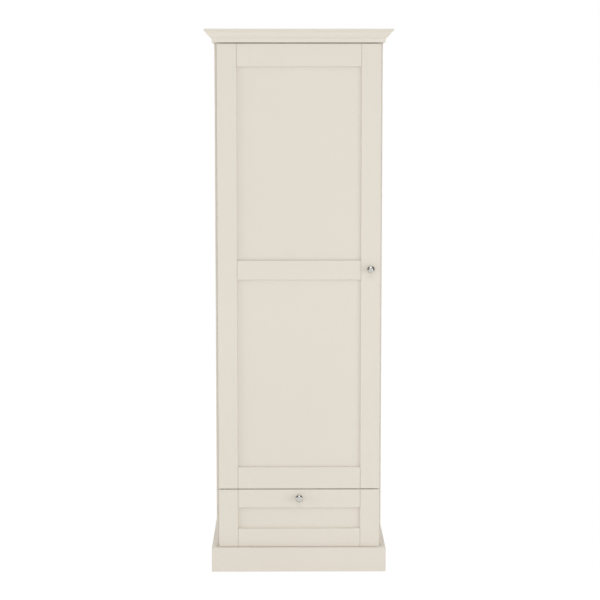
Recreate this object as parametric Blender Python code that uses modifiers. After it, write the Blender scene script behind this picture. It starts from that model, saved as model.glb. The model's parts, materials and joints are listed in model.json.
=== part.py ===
"""A tall cupboard: one framed door over one drawer, a moulded cornice and a plinth.

Metres, +Z up, the back towards +Y. The origin is at the middle of the width and depth, on the floor.
The door hangs on three concealed cup hinges at its left, and the drawer runs on two ball runners.
"""

import math

import bmesh
import bpy
from mathutils import Matrix, Vector

MM = 0.001

# Fits and edges
seat_gap = 0.3 * MM
joint_gap = 0.7 * MM
edge_break = 0.45 * MM
cutter_overrun = 2 * MM
weld_distance = 0.01 * MM

# Heights, from the floor up
plinth_height = 88.5 * MM
drawer_lift = 0.35 * MM
drawer_front_height = 211.15 * MM
front_gap = 3 * MM
door_height = 1597 * MM
door_top_gap = 3 * MM
cornice_height = 47 * MM

# Carcass
carcass_width = 596 * MM
carcass_depth = 519.5 * MM
board_thickness = 18 * MM
back_thickness = 6 * MM
base_drop = 0.5 * MM
shelf_setback = 20 * MM
shelf_side_clearance = 0.8 * MM

# Door and drawer front
door_thickness = 20 * MM
door_gap = 3.5 * MM
hinge_side_reveal = 9 * MM
latch_side_reveal = 6 * MM
stile_width = 69 * MM
top_rail_width = 80.5 * MM
mid_rail_width = 68.5 * MM
bottom_rail_width = 79 * MM
drawer_rail_width = 66.7 * MM
upper_panel_sight = 687 * MM
panel_recess = 8 * MM
panel_thickness = 6 * MM
panel_groove_depth = 9 * MM
panel_float = 0.8 * MM

# Cornice, as its projection from the box that it wraps, then the steps in and down its profile
cornice_projection = 35 * MM
cornice_fillet_height = 7.4 * MM
fillet_step_in = 5 * MM
fillet_step_down = 0.9 * MM
ovolo_width = 18.1 * MM
ovolo_height = 22.7 * MM
ovolo_bulge = 1.7 * MM
ovolo_steps = 8
neck_step_in = 2.7 * MM
neck_step_down = 0.8 * MM
foot_slope_in = 1.7 * MM

# Plinth
plinth_thickness = 17 * MM
plinth_edge_round = 1.6 * MM
plinth_round_steps = 3

# Shelf pins, in bored rows
pin_radius = 2.5 * MM
pin_reach = 9 * MM
pin_hole_depth = 10 * MM
pin_clearance = 0.15 * MM
pin_front_inset = 60 * MM
pin_back_inset = 66 * MM
pin_pitch = 32 * MM
pin_spare_rows = 1
pin_sides = 12

# Cup hinges, measured from the door's hinge edge and from its back face
hinge_end_inset = 100 * MM
cup_edge_distance = 5 * MM
cup_radius = 17.5 * MM
cup_wall = 1 * MM
cup_depth = 11.2 * MM
cup_flange_width = 0.7 * MM
cup_flange_rise = 1 * MM
cup_wing_offset = 9.5 * MM
cup_wing_width = 16 * MM
cup_wing_length = 62 * MM
cup_wing_thickness = 0.5 * MM
cup_sides = 32
cup_pivot_offset = -11.5 * MM
cup_pivot_depth = 3.2 * MM
arm_pivot_offset = 7.5 * MM
arm_pivot_depth = 6.5 * MM
pivot_pin_radius = 1 * MM
pivot_clearance = 0.2 * MM
pivot_sides = 12
link_eye_radius = 2.2 * MM
link_strap_thickness = 2 * MM
link_height = 9 * MM
arm_ear_radius = 2.7 * MM
arm_ear_thickness = 2 * MM
arm_clear_of_pivot = 2.6 * MM
arm_clear_of_door = 5 * MM
arm_cross_width = 7 * MM
arm_body_width = 11 * MM
arm_body_length = 57 * MM
plate_rise = 3 * MM
plate_setback = 22 * MM
plate_length = 36 * MM
plate_height = 54 * MM

# Fixed shelf, under the middle hinge's plate
plate_to_shelf = 14 * MM

# Drawer box and runners
runner_width = 13 * MM
runner_length = 450 * MM
runner_setback = 3 * MM
runner_gauge = 1.2 * MM
runner_running_gap = 0.5 * MM
runner_height = 45 * MM
cage_thickness = 6.8 * MM
inner_member_reach = 8 * MM
middle_member_inset = 2.6 * MM
outer_member_reach = 9 * MM
middle_member_reach = 10.6 * MM
runner_rise = 46 * MM
box_board = 12 * MM
box_depth = 470 * MM
box_height = 150 * MM
box_floor_lift = 18 * MM
box_bottom_thickness = 6 * MM
box_bottom_rise = 10 * MM
box_groove_depth = 6 * MM
box_bottom_float = 0.8 * MM

# Knobs, turned
knob_radius = 13.5 * MM
knob_projection = 25 * MM
knob_base_radius = 8 * MM
knob_base_height = 2.4 * MM
knob_neck_radius = 5 * MM
knob_neck_height = 9 * MM
knob_crown = 4.5 * MM
knob_sides = 32
knob_arc_steps = 6
knob_drop = 30 * MM

# Planes that the pieces share
plinth_top = plinth_height
drawer_bottom = plinth_top + drawer_lift
drawer_top = drawer_bottom + drawer_front_height
door_bottom = drawer_top + front_gap
door_top = door_bottom + door_height
carcass_top = door_top + door_top_gap
base_top = plinth_top - base_drop
base_bottom = base_top - board_thickness
deck_middle = (drawer_top + door_bottom) / 2
deck_top = deck_middle + board_thickness / 2
deck_bottom = deck_middle - board_thickness / 2
top_bottom = carcass_top - board_thickness

half_width = carcass_width / 2
inner_half = half_width - board_thickness
whole_depth = cornice_projection + door_thickness + door_gap + carcass_depth
back_plane = whole_depth / 2
carcass_front = back_plane - carcass_depth
door_back = carcass_front - door_gap
front_plane = door_back - door_thickness
back_inside = back_plane - back_thickness

door_left = -half_width + hinge_side_reveal
door_right = half_width - latch_side_reveal
door_middle = (door_left + door_right) / 2
mid_rail_top = door_top - top_rail_width - upper_panel_sight
mid_rail_bottom = mid_rail_top - mid_rail_width

cup_middle = door_left + cup_edge_distance + cup_radius
cup_pivot = Vector((cup_middle + cup_pivot_offset, door_back - cup_pivot_depth, 0))
arm_pivot = Vector((cup_middle + arm_pivot_offset, door_back - arm_pivot_depth, 0))
hinge_heights = {
    "lower": door_bottom + hinge_end_inset,
    "middle": (door_bottom + door_top) / 2,
    "upper": door_top - hinge_end_inset,
}

shelf_middle_top = hinge_heights["middle"] - plate_height / 2 - plate_to_shelf
shelf_tops = {
    "lower": (deck_top + shelf_middle_top) / 2,
    "middle": shelf_middle_top,
    "upper": (shelf_middle_top + top_bottom + board_thickness) / 2,
}

box_half = inner_half - runner_width
box_bottom = base_top + box_floor_lift
box_front = door_back + seat_gap
runner_middle = box_bottom + runner_rise
runner_front = carcass_front + runner_setback

PAINT = ("cream_paint", (0.77, 0.72, 0.63), 0.45, 0.0)
PANEL_PAINT = ("panel_paint", (0.77, 0.72, 0.63), 0.5, 0.0)
BACK_BOARD = ("back_board", (0.72, 0.67, 0.58), 0.6, 0.0)
BOX_WOOD = ("box_wood", (0.62, 0.47, 0.3), 0.55, 0.0)
CHROME = ("polished_chrome", (0.78, 0.78, 0.76), 0.12, 1.0)
HINGE_STEEL = ("hinge_steel", (0.6, 0.6, 0.6), 0.3, 1.0)
RUNNER_STEEL = ("runner_steel", (0.55, 0.56, 0.58), 0.38, 1.0)


def clear_scene():
    for thing in list(bpy.data.objects):
        bpy.data.objects.remove(thing, do_unlink=True)


def new_collection(name):
    made = bpy.data.collections.new(name)
    bpy.context.scene.collection.children.link(made)
    return made


clear_scene()
parts = new_collection("cupboard")
tools = new_collection("cutters")
tools.hide_render = True


def material(finish):
    name, colour, roughness, metallic = finish
    made = bpy.data.materials.get(name)
    if made is None:
        made = bpy.data.materials.new(name)
        made.use_nodes = True
        shader = made.node_tree.nodes["Principled BSDF"]
        shader.inputs["Base Color"].default_value = (*colour, 1.0)
        shader.inputs["Roughness"].default_value = roughness
        shader.inputs["Metallic"].default_value = metallic
    return made


def body(name, place=(0, 0, 0)):
    """An empty that carries the pieces of one rigid body, on its joint's axis."""
    made = bpy.data.objects.new(name, None)
    made.location = place
    parts.objects.link(made)
    return made


def add(name, mesh, place, finish, carrier):
    """A node: the mesh at this place in the world, carried by its body's empty."""
    made = bpy.data.objects.new(name, mesh)
    parts.objects.link(made)
    made.parent = carrier
    made.location = Vector(place) - carrier.location
    mesh.materials.append(material(finish))
    return made


def tool(name, mesh, place):
    """A shape that cuts a node or is joined to one, and isn't rendered itself."""
    made = bpy.data.objects.new(name, mesh)
    tools.objects.link(made)
    made.location = place
    made.hide_render = True
    made.display_type = "WIRE"
    return made


def box_mesh(name, size):
    mesh = bpy.data.meshes.new(name)
    work = bmesh.new()
    bmesh.ops.create_cube(work, size=1, matrix=Matrix.Diagonal((*size, 1)))
    work.to_mesh(mesh)
    work.free()
    return mesh


def rod_mesh(name, radius, length, sides, turn=Matrix.Identity(4)):
    """A cylinder along its own Z, then turned."""
    mesh = bpy.data.meshes.new(name)
    work = bmesh.new()
    bmesh.ops.create_cone(
        work, cap_ends=True, segments=sides, radius1=radius, radius2=radius, depth=length, matrix=turn
    )
    work.to_mesh(mesh)
    work.free()
    mesh.shade_smooth()
    mesh.set_sharp_from_angle(angle=math.radians(30))
    return mesh


ALONG_X = Matrix(((0, 0, 1, 0), (1, 0, 0, 0), (0, 1, 0, 0), (0, 0, 0, 1)))
ALONG_Y = Matrix(((1, 0, 0, 0), (0, 0, -1, 0), (0, 1, 0, 0), (0, 0, 0, 1)))
ALONG_Z = Matrix.Identity(4)


def prism_mesh(name, outline, length, turn=ALONG_Z):
    """A closed outline drawn in X and Y, extruded along Z by a 2D curve, then turned."""
    curve = bpy.data.curves.new(name, "CURVE")
    curve.dimensions = "2D"
    curve.fill_mode = "BOTH"
    curve.extrude = length / 2
    spline = curve.splines.new("POLY")
    spline.points.add(len(outline) - 1)
    for point, (across, up) in zip(spline.points, outline):
        point.co = (across, up, 0, 1)
    spline.use_cyclic_u = True
    guide = bpy.data.objects.new(name, curve)
    bpy.context.scene.collection.objects.link(guide)
    bpy.context.view_layer.update()
    solid = guide.evaluated_get(bpy.context.evaluated_depsgraph_get())
    mesh = bpy.data.meshes.new_from_object(solid)
    bpy.data.objects.remove(guide)
    work = bmesh.new()
    work.from_mesh(mesh)
    bmesh.ops.remove_doubles(work, verts=work.verts, dist=weld_distance)
    bmesh.ops.transform(work, matrix=turn, verts=work.verts)
    bmesh.ops.recalc_face_normals(work, faces=work.faces)
    work.to_mesh(mesh)
    work.free()
    return mesh


def turned_mesh(name, profile):
    """The half profile, as radii and heights, that a Screw modifier turns about Z."""
    mesh = bpy.data.meshes.new(name)
    points = [(radius, 0, height) for radius, height in profile]
    mesh.from_pydata(points, [(i, i + 1) for i in range(len(points) - 1)], [])
    return mesh


def spin(piece, sides):
    screw = piece.modifiers.new("turn", "SCREW")
    screw.steps = sides
    screw.render_steps = sides
    screw.use_merge_vertices = True
    screw.merge_threshold = weld_distance
    screw.use_smooth_shade = True


def ease(piece, width=edge_break, segments=1):
    """Breaks the sharp edges of a board."""
    bevel = piece.modifiers.new("eased edges", "BEVEL")
    bevel.width = width
    bevel.segments = segments
    bevel.limit_method = "ANGLE"
    bevel.harden_normals = False
    return piece


def cut(piece, cutter):
    boolean = piece.modifiers.new(cutter.name, "BOOLEAN")
    boolean.operation = "DIFFERENCE"
    boolean.object = cutter


def join(piece, addition):
    boolean = piece.modifiers.new(addition.name, "BOOLEAN")
    boolean.operation = "UNION"
    boolean.object = addition


def board(name, low, high, finish, carrier):
    """A plain board between two opposite corners, with eased edges."""
    low, high = Vector(low), Vector(high)
    return ease(add(name, box_mesh(name, high - low), (low + high) / 2, finish, carrier))


def joined_mesh(name, meshes):
    """Several loose shapes in one mesh, for a cutter that bores many holes."""
    work = bmesh.new()
    for mesh, place in meshes:
        shifted = mesh.copy()
        shifted.transform(Matrix.Translation(place))
        work.from_mesh(shifted)
        bpy.data.meshes.remove(shifted)
    made = bpy.data.meshes.new(name)
    work.to_mesh(made)
    work.free()
    return made


def pin_places(shelf, side):
    """Where this shelf's two pins enter a side panel, on its inner face."""
    height = shelf_tops[shelf] - board_thickness - seat_gap - pin_radius
    depths = {"front": carcass_front + pin_front_inset, "rear": back_inside - pin_back_inset}
    return {end: Vector((side * inner_half, depth, height)) for end, depth in depths.items()}


def side_panels(carrier):
    for name, side in (("left", -1), ("right", 1)):
        outer, inner = side * half_width, side * inner_half
        panel = board(
            f"side_panel_{name}",
            (min(outer, inner), carcass_front, base_top + seat_gap),
            (max(outer, inner), back_plane, carcass_top),
            PAINT,
            carrier,
        )
        depth = pin_hole_depth + cutter_overrun
        hole = rod_mesh("hole", pin_radius + pin_clearance, depth, pin_sides, ALONG_X)
        middle = Vector((side * (pin_hole_depth - cutter_overrun) / 2, 0, 0))
        rows = range(-pin_spare_rows, pin_spare_rows + 1)
        holes = [
            (hole, place + middle + Vector((0, 0, row * pin_pitch)))
            for shelf in ("lower", "upper")
            for place in pin_places(shelf, side).values()
            for row in rows
        ]
        cut(panel, tool(f"pin_holes_{name}", joined_mesh("pin_holes", holes), (0, 0, 0)))


def shelf_pins(carrier):
    length = pin_hole_depth - pin_clearance + pin_reach
    for shelf in ("lower", "upper"):
        for side_name, side in (("left", -1), ("right", 1)):
            for end, place in pin_places(shelf, side).items():
                mesh = rod_mesh("shelf_pin", pin_radius, length, pin_sides, ALONG_X)
                middle = Vector((side * (length / 2 - pin_reach), 0, 0))
                add(f"shelf_pin_{shelf}_{side_name}_{end}", mesh, place + middle, HINGE_STEEL, carrier)


def carcass_boards(carrier):
    inside = inner_half - seat_gap
    rear = back_inside - seat_gap
    low = (-half_width, front_plane, base_bottom)
    board("base_panel", low, (half_width, back_plane, base_top), PAINT, carrier)
    for name, bottom, top in (("deck_panel", deck_bottom, deck_top), ("top_panel", top_bottom, carcass_top)):
        board(name, (-inside, carcass_front, bottom), (inside, rear, top), PAINT, carrier)
    low = (-inside, back_inside, base_top + seat_gap)
    board("back_panel", low, (inside, back_plane, carcass_top), BACK_BOARD, carrier)
    for name, top in shelf_tops.items():
        half = inside if name == "middle" else inner_half - shelf_side_clearance
        low = (-half, carcass_front + shelf_setback, top - board_thickness)
        board(f"shelf_{name}", low, (half, rear, top), PAINT, carrier)


def cornice_profile():
    """Points as projection and height above the cornice's foot, clockwise from the inner top."""
    fillet = Vector((cornice_projection, cornice_height - cornice_fillet_height))
    top = fillet - Vector((fillet_step_in, fillet_step_down))
    bottom = top - Vector((ovolo_width, ovolo_height))
    neck = bottom - Vector((neck_step_in, neck_step_down))
    outward = Vector((top.y - bottom.y, bottom.x - top.x)).normalized()
    ovolo = []
    for step in range(ovolo_steps + 1):
        share = step / ovolo_steps
        ovolo.append(top.lerp(bottom, share) + outward * ovolo_bulge * math.sin(math.pi * share))
    return [
        (0, cornice_height),
        (cornice_projection, cornice_height),
        tuple(fillet),
        *[tuple(point) for point in ovolo],
        tuple(neck),
        (neck.x - foot_slope_in, 0),
        (0, 0),
    ]


def mitred(mesh, axis, ends, shortening=0):
    """Slides each end along the length by its projection, so that the end is cut at 45 degrees."""
    across = 1 - axis
    for vertex in mesh.vertices:
        end = 1 if vertex.co[axis] > 0 else -1
        if end in ends:
            vertex.co[axis] += end * (abs(vertex.co[across]) - shortening)
    return mesh


def wrapped(name, profile, foot, carrier):
    """Three lengths of one profile round the front and sides of the case, mitred at the front corners."""
    length = back_plane - front_plane
    middle = (back_plane + front_plane) / 2
    front = prism_mesh(f"{name}_front", [(-out, up) for out, up in profile], carcass_width, ALONG_X)
    mitred(front, 0, (-1, 1), seat_gap * math.sqrt(2))
    add(f"{name}_front", front, (0, front_plane, foot), PAINT, carrier)
    for side_name, side in (("left", -1), ("right", 1)):
        outline = [(side * out, up) for out, up in profile]
        mesh = mitred(prism_mesh(f"{name}_{side_name}", outline, length, ALONG_Y), 1, (-1,))
        add(f"{name}_{side_name}", mesh, (side * half_width, middle, foot), PAINT, carrier)


def cornice(carrier):
    wrapped("cornice", cornice_profile(), carcass_top, carrier)
    board(
        "cornice_board",
        (-half_width + seat_gap, front_plane + seat_gap, carcass_top + seat_gap),
        (half_width - seat_gap, back_plane, carcass_top + seat_gap + board_thickness),
        PAINT,
        carrier,
    )


def plinth_profile():
    """Points as projection and height, rounded at the top front edge."""
    outer = seat_gap + plinth_thickness
    radius = plinth_edge_round
    rounded = []
    for step in range(plinth_round_steps + 1):
        angle = math.pi / 2 * step / plinth_round_steps
        rounded.append(
            (outer - radius + radius * math.sin(angle), plinth_height - radius + radius * math.cos(angle))
        )
    return [(seat_gap, plinth_height), *rounded, (outer, 0), (seat_gap, 0)]


def plinth(carrier):
    wrapped("plinth", plinth_profile(), 0, carrier)
    top = base_bottom - seat_gap
    for name, start in (("plinth_brace", front_plane), ("plinth_rear", back_plane - board_thickness)):
        board(name, (-half_width, start, 0), (half_width, start + board_thickness, top), PAINT, carrier)


def grooved_outline(width, depth, groove_start, groove_end, groove_depth, sides):
    """A board's section from (0, 0) to (width, depth), with a groove in its low or high edge, or both."""
    outline = [(0, 0), (width, 0)]
    if 1 in sides:
        outline += [
            (width, groove_start),
            (width - groove_depth, groove_start),
            (width - groove_depth, groove_end),
            (width, groove_end),
        ]
    outline += [(width, depth), (0, depth)]
    if -1 in sides:
        outline += [
            (0, groove_end),
            (groove_depth, groove_end),
            (groove_depth, groove_start),
            (0, groove_start),
        ]
    return outline


def panel_section(width, sides):
    """A stile's or rail's section, its front face at 0, grooved for the panel."""
    start = panel_recess - seat_gap
    end = panel_recess + panel_thickness + seat_gap
    return grooved_outline(width, door_thickness, start, end, panel_groove_depth, sides)


def stile(name, left, bottom, top, side, carrier):
    """An upright of a framed front, its groove towards the middle."""
    mesh = prism_mesh(name, panel_section(stile_width, (side,)), top - bottom)
    place = (left, front_plane, (bottom + top) / 2)
    return ease(add(name, mesh, place, PAINT, carrier))


def rail(name, bottom, width, sides, carrier):
    """A cross piece of a framed front, with a tongue at each end in the stiles' grooves."""
    left = door_left + stile_width + joint_gap
    right = door_right - stile_width - joint_gap
    section = [(depth, up) for up, depth in panel_section(width, sides)]
    mesh = prism_mesh(name, section, right - left, ALONG_X)
    made = ease(add(name, mesh, ((left + right) / 2, front_plane, bottom), PAINT, carrier))
    low = bottom + (panel_groove_depth if -1 in sides else edge_break)
    high = bottom + width - (panel_groove_depth if 1 in sides else edge_break)
    reach = panel_groove_depth - panel_float
    length = right - left + 2 * reach
    tongue = box_mesh(name, (length, panel_thickness, high - low))
    middle = ((left + right) / 2, front_plane + panel_recess + panel_thickness / 2, (low + high) / 2)
    join(made, tool(f"{name}_tongues", tongue, middle))
    return made


def inset_panel(name, bottom, top, carrier):
    """A flat panel held in the grooves round one sight opening."""
    reach = panel_groove_depth - panel_float
    face = front_plane + panel_recess
    low = Vector((door_left + stile_width - reach, face, bottom - reach))
    high = Vector((door_right - stile_width + reach, face + panel_thickness, top + reach))
    return add(name, box_mesh(name, high - low), (low + high) / 2, PANEL_PAINT, carrier)


def knob_profile():
    """Radius and distance from the face, from the crown's middle down to the seat."""
    rim = knob_projection - knob_crown
    crown_radius = (knob_radius**2 + knob_crown**2) / (2 * knob_crown)
    sweep = math.asin(min(1, knob_radius / crown_radius))
    points = []
    for step in range(knob_arc_steps + 1):
        angle = sweep * step / knob_arc_steps
        drop = crown_radius * (1 - math.cos(angle))
        points.append((crown_radius * math.sin(angle), knob_projection - drop))
    under = rim - knob_neck_height
    for step in range(1, knob_arc_steps + 1):
        angle = math.pi / 2 * step / knob_arc_steps
        radius = knob_neck_radius + (knob_radius - knob_neck_radius) * math.cos(angle)
        points.append((radius, rim - under * math.sin(angle)))
    points += [(knob_neck_radius, knob_base_height), (knob_base_radius, knob_base_height)]
    return [*points, (knob_base_radius, 0), (0, 0)]


def knob(name, across, height, carrier):
    place = (across, front_plane - seat_gap, height)
    made = add(name, turned_mesh(name, knob_profile()), place, CHROME, carrier)
    made.rotation_euler = (math.pi / 2, 0, 0)
    spin(made, knob_sides)
    return made


def door_frame(carrier):
    hinge_stile = stile("hinge_stile", door_left, door_bottom, door_top, 1, carrier)
    bore_length = cup_depth + seat_gap + cutter_overrun
    bore = rod_mesh("cup_bore", cup_radius + seat_gap, bore_length, cup_sides, ALONG_Y)
    bore_middle = door_back + (cutter_overrun - cup_depth - seat_gap) / 2
    bores = [(bore, Vector((cup_middle, bore_middle, height))) for height in hinge_heights.values()]
    cut(hinge_stile, tool("cup_bores", joined_mesh("cup_bores", bores), (0, 0, 0)))
    stile("lock_stile", door_right - stile_width, door_bottom, door_top, -1, carrier)
    rail("top_rail", door_top - top_rail_width, top_rail_width, (-1,), carrier)
    rail("mid_rail", mid_rail_bottom, mid_rail_width, (-1, 1), carrier)
    rail("bottom_rail", door_bottom, bottom_rail_width, (1,), carrier)
    inset_panel("upper_panel", mid_rail_top, door_top - top_rail_width, carrier)
    inset_panel("lower_panel", door_bottom + bottom_rail_width, mid_rail_bottom, carrier)
    knob("door_knob", door_right - stile_width / 2, (door_bottom + door_top) / 2, carrier)


def drawer_front(carrier):
    stile("drawer_stile_left", door_left, drawer_bottom, drawer_top, 1, carrier)
    stile("drawer_stile_right", door_right - stile_width, drawer_bottom, drawer_top, -1, carrier)
    rail("drawer_top_rail", drawer_top - drawer_rail_width, drawer_rail_width, (-1,), carrier)
    rail("drawer_bottom_rail", drawer_bottom, drawer_rail_width, (1,), carrier)
    inset_panel("drawer_panel", drawer_bottom + drawer_rail_width, drawer_top - drawer_rail_width, carrier)
    knob("drawer_knob", door_middle, drawer_top - knob_drop, carrier)


def hinge_cup(name, height, carrier):
    """The pressed cup in the stile's bore, its wing plate on the door's back, with its pivot pin."""
    inner = cup_radius - cup_wall
    flange = cup_radius + cup_flange_width
    profile = [
        (0, cup_wall - cup_depth),
        (inner, cup_wall - cup_depth),
        (inner, cup_flange_rise),
        (flange, cup_flange_rise),
        (flange, seat_gap),
        (cup_radius, seat_gap),
        (cup_radius, -cup_depth),
        (0, -cup_depth),
    ]
    place = (cup_middle, door_back, height)
    made = add(name, turned_mesh(name, profile), place, HINGE_STEEL, carrier)
    made.rotation_euler = (-math.pi / 2, 0, 0)
    spin(made, cup_sides)
    wing = box_mesh("wing", (cup_wing_width, cup_wing_thickness, cup_wing_length))
    wing_middle = (cup_middle + cup_wing_offset, door_back + (cup_flange_rise + seat_gap) / 2, height)
    wings = tool(f"{name}_wings", wing, wing_middle)
    mouth = rod_mesh("mouth", cup_radius, cup_depth, cup_sides, ALONG_Y)
    cut(wings, tool(f"{name}_mouth", mouth, place))
    join(made, wings)
    half_chord = math.sqrt((cup_radius - cup_wall / 2) ** 2 - cup_pivot_offset**2)
    pin = rod_mesh("pin", pivot_pin_radius, 2 * half_chord, pivot_sides)
    join(made, tool(f"{name}_pin", pin, cup_pivot + Vector((0, 0, height))))


def hinge_link(name, height, carrier):
    """The strap that swings between the arm's pin and the cup's pin, with an eye at each end."""
    span = cup_pivot - arm_pivot
    lift = Vector((0, 0, height))
    eye = rod_mesh(name, link_eye_radius, link_height, pivot_sides * 2)
    made = add(name, eye, arm_pivot + lift, HINGE_STEEL, carrier)
    strap = box_mesh("strap", (span.length, link_strap_thickness, link_height))
    strap.transform(Matrix.Rotation(math.atan2(span.y, span.x), 4, "Z"))
    far_eye = rod_mesh("far_eye", link_eye_radius, link_height, pivot_sides * 2)
    join(made, tool(f"{name}_strap", strap, arm_pivot + span / 2 + lift))
    join(made, tool(f"{name}_far_eye", far_eye, cup_pivot + lift))
    bore = rod_mesh("bore", pivot_pin_radius + pivot_clearance, link_height + cutter_overrun, pivot_sides)
    bores = joined_mesh("bores", [(bore, arm_pivot + lift), (bore, cup_pivot + lift)])
    cut(made, tool(f"{name}_bores", bores, (0, 0, 0)))


def hinge_arm(name, height, carrier):
    """The arm on its mounting plate, from the side panel forward into the cup, forked at its pivot pin."""
    lift = Vector((0, 0, height))
    half = link_height / 2 + seat_gap + arm_ear_thickness
    left = -inner_half + seat_gap + plate_rise
    finger_left = arm_pivot.x - arm_ear_radius
    finger_right = arm_pivot.x + arm_ear_radius
    finger_front = arm_pivot.y + arm_clear_of_pivot
    cross_front = door_back + arm_clear_of_door
    cross_back = cross_front + arm_cross_width
    body_back = cross_front + arm_body_length
    body_right = left + arm_body_width
    outline = [
        (finger_left, finger_front),
        (finger_right, finger_front),
        (finger_right, cross_back),
        (body_right, cross_back),
        (body_right, body_back),
        (left, body_back),
        (left, cross_front),
        (finger_left, cross_front),
    ]
    made = add(name, prism_mesh(name, outline, 2 * half), lift, HINGE_STEEL, carrier)
    ear_length = cross_front - arm_pivot.y
    for side_name, side in (("low", -1), ("high", 1)):
        middle = side * (half - arm_ear_thickness / 2)
        nose = rod_mesh("nose", arm_ear_radius, arm_ear_thickness, pivot_sides * 2)
        cheek = box_mesh("cheek", (2 * arm_ear_radius, ear_length, arm_ear_thickness))
        join(made, tool(f"{name}_nose_{side_name}", nose, arm_pivot + lift + Vector((0, 0, middle))))
        place = arm_pivot + lift + Vector((0, ear_length / 2, middle))
        join(made, tool(f"{name}_cheek_{side_name}", cheek, place))
    pin = rod_mesh("pin", pivot_pin_radius, 2 * half, pivot_sides)
    join(made, tool(f"{name}_pin", pin, arm_pivot + lift))
    plate = box_mesh("plate", (plate_rise + edge_break, plate_length, plate_height))
    across = -inner_half + seat_gap + (plate_rise + edge_break) / 2
    back = carcass_front + plate_setback + plate_length / 2
    join(made, tool(f"{name}_plate", plate, (across, back, height)))


def channel(web_start, web_end, tip, outer, flange):
    """A C section as distances from the cabinet side and from the runner's middle."""
    return [
        (web_start, -outer),
        (tip, -outer),
        (tip, -outer + flange),
        (web_end, -outer + flange),
        (web_end, outer - flange),
        (tip, outer - flange),
        (tip, outer),
        (web_start, outer),
    ]


def runner_sections():
    half = runner_height / 2
    middle_half = half - runner_gauge - runner_running_gap
    drawer_half = middle_half - cage_thickness - runner_running_gap
    gauge = runner_gauge
    near = seat_gap
    middle = near + middle_member_inset
    far = runner_width - near
    tip = far - inner_member_reach
    return {
        "runner_cabinet": channel(near, near + gauge, outer_member_reach, half, gauge),
        "runner_middle": channel(middle, middle + gauge, middle_member_reach, middle_half, cage_thickness),
        "runner_drawer": channel(far, far - gauge, tip, drawer_half, gauge),
    }


def runners(carriers):
    place_y = runner_front + runner_length / 2
    for member, section in runner_sections().items():
        for name, side in (("left", -1), ("right", 1)):
            outline = [(-side * out, up) for out, up in section]
            mesh = prism_mesh(member, outline, runner_length, ALONG_Y)
            place = (side * inner_half, place_y, runner_middle)
            add(f"{member}_{name}", mesh, place, RUNNER_STEEL, carriers[member])


def drawer_box(carrier):
    back = box_front + box_depth
    start = box_bottom_rise - seat_gap
    end = box_bottom_rise + box_bottom_thickness + seat_gap
    middle_y = (box_front + back) / 2
    for name, side in (("left", -1), ("right", 1)):
        outline = grooved_outline(box_board, box_height, start, end, box_groove_depth, (1,))
        outline = [(-side * across, up) for across, up in outline]
        mesh = prism_mesh(f"drawer_side_{name}", outline, box_depth, ALONG_Y)
        ease(add(f"drawer_side_{name}", mesh, (side * box_half, middle_y, box_bottom), BOX_WOOD, carrier))
    inside = box_half - box_board - seat_gap
    outline = grooved_outline(box_board, box_height, start, end, box_groove_depth, (1,))
    mesh = prism_mesh("drawer_box_front", outline, 2 * inside, ALONG_X)
    ease(add("drawer_box_front", mesh, (0, box_front, box_bottom), BOX_WOOD, carrier))
    floor_top = box_bottom + box_bottom_rise + box_bottom_thickness
    board(
        "drawer_box_back",
        (-inside, back - box_board, floor_top + seat_gap),
        (inside, back, box_bottom + box_height),
        BOX_WOOD,
        carrier,
    )
    reach = box_groove_depth - box_bottom_float
    half = box_half - box_board + reach
    low = Vector((-half, box_front + box_board - reach, box_bottom + box_bottom_rise))
    high = Vector((half, back, floor_top))
    floor = box_mesh("drawer_box_bottom", high - low)
    add("drawer_box_bottom", floor, (low + high) / 2, BOX_WOOD, carrier)


def main():
    carcass = body("carcass")
    hinge_links = body("hinge_links", arm_pivot)
    door = body("door", cup_pivot)
    drawer = body("drawer", (0, box_front, runner_middle))
    runner_middles = body("runner_middles", (0, runner_front, runner_middle))
    side_panels(carcass)
    carcass_boards(carcass)
    shelf_pins(carcass)
    cornice(carcass)
    plinth(carcass)
    door_frame(door)
    drawer_front(drawer)
    drawer_box(drawer)
    for name, height in hinge_heights.items():
        hinge_arm(f"hinge_arm_{name}", height, carcass)
        hinge_cup(f"hinge_cup_{name}", height, door)
        hinge_link(f"hinge_link_{name}", height, hinge_links)
    runners({"runner_cabinet": carcass, "runner_middle": runner_middles, "runner_drawer": drawer})


main()
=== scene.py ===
"""The looks of the tall cream cupboard: its finishes, mouldings, knobs, hinges, runners and fixings.

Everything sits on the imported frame, in metres, +Z up, with the back towards +Y. Every mesh has its origin
at the world's origin, so that grain and paint marks run on from board to board.
"""

import json
import math

import bmesh
import bpy
from mathutils import Matrix, Vector


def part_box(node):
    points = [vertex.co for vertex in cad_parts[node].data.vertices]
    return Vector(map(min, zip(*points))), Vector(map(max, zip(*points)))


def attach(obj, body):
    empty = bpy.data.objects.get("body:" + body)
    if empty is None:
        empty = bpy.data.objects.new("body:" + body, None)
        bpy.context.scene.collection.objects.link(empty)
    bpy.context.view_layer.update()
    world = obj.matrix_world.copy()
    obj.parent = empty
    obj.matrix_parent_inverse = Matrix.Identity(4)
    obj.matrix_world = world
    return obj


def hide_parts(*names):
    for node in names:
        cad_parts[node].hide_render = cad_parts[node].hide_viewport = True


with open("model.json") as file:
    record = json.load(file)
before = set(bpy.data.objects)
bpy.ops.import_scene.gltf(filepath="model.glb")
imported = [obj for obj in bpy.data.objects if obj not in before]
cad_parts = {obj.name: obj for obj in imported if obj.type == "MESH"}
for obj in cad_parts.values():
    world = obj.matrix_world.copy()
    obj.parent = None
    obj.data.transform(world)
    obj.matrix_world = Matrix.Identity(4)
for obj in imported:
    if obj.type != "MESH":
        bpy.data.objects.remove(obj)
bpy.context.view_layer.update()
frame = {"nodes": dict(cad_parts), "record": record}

MM = 0.001
ALONG_X, ALONG_Y, ALONG_Z = range(3)
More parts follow.
